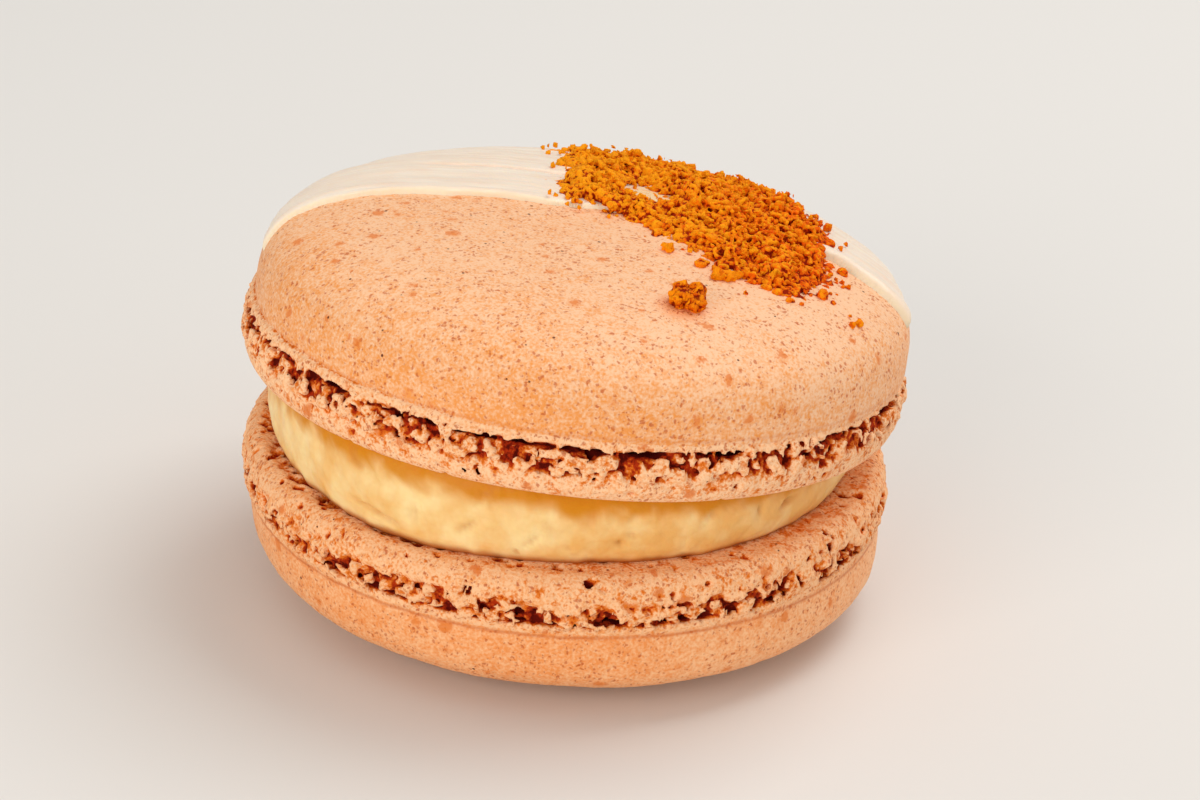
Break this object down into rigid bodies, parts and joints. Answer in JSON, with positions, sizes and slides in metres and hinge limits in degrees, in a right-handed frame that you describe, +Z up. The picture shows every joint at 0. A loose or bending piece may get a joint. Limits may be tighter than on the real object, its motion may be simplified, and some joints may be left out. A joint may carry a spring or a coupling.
{
  "type": "french macaron",
  "caption": "Round almond macaron with ruffled feet, buttercream between its biscuits, a white chocolate coat on half its dome and scattered crumbs.",
  "frame": {"origin": "under the middle of the macaron, on the surface it stands on", "axes": "+Z up, from the lower biscuit to the upper one; +Y towards the chocolate-coated half of the dome; +X towards the side with the crumbs"},
  "size_m": [0.0458, 0.0454, 0.0281],
  "materials": {
    "baked_meringue": "matte, finely pored baked almond crust with darker specks",
    "buttercream": "smooth pale yellow cream with a soft sheen",
    "white_chocolate": "thin ivory coat with brush streaks, soft gloss",
    "caramel_crumb": "dry, grainy, amber to dark brown"
  },
  "bodies": {
    "root": {"lower_biscuit": "baked_meringue", "upper_biscuit": "baked_meringue", "buttercream_filling": "buttercream", "chocolate_coat": "white_chocolate", "crumb_topping": "caramel_crumb"}
  },
  "joints": []
}
